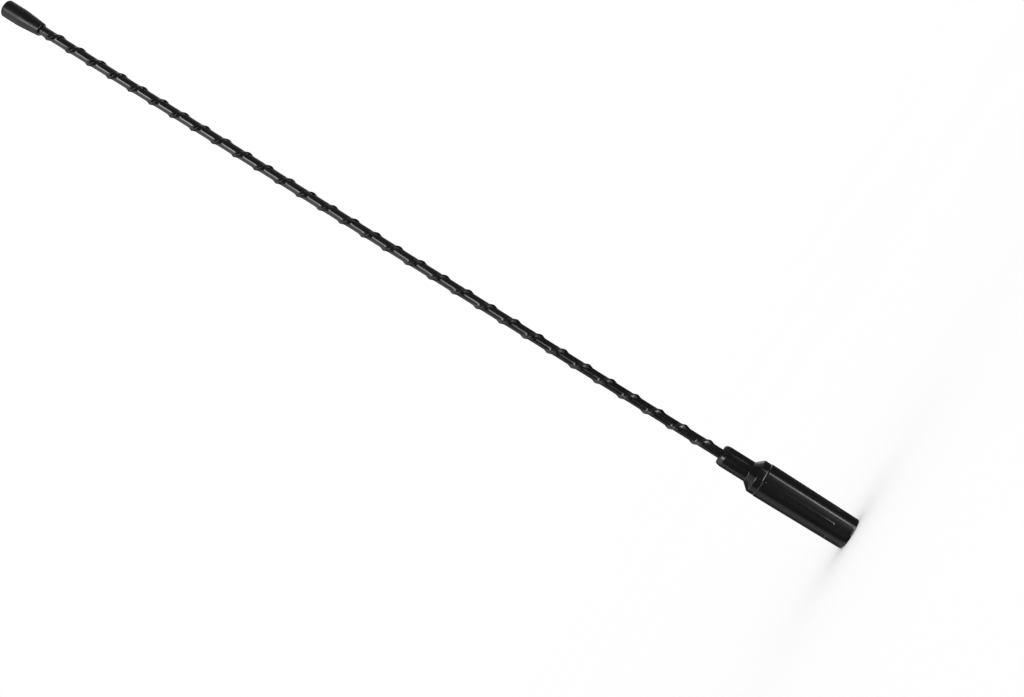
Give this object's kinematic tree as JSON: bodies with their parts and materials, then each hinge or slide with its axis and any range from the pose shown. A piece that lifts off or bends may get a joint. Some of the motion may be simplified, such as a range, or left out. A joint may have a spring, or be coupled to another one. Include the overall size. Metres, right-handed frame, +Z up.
{
  "type": "car mast aerial",
  "caption": "Black car roof mast aerial with a left-hand wind noise spiral, a moulded tip cap and a tapered base grip over a blind M5 threaded ferrule.",
  "frame": {"origin": "centre of the base's end face, which seats on the car's aerial foot", "axes": "+Z up along the mast from the base to the tip; +X and +Y across it, with the spiral's lower pitch counted from +X"},
  "size_m": [0.01, 0.01, 0.2784],
  "materials": {
    "base_plastic": "glossy black moulded plastic",
    "ferrule_brass": "turned brass with fine tool marks",
    "rod_steel": "drawn spring steel wire",
    "sheath_plastic": "satin black moulded plastic",
    "cap_plastic": "satin black moulded plastic"
  },
  "bodies": {
    "root": {"base_grip": "base_plastic", "threaded_ferrule": "ferrule_brass", "core_rod": "rod_steel", "mast_sheath": "sheath_plastic", "tip_cap": "cap_plastic"}
  },
  "joints": []
}
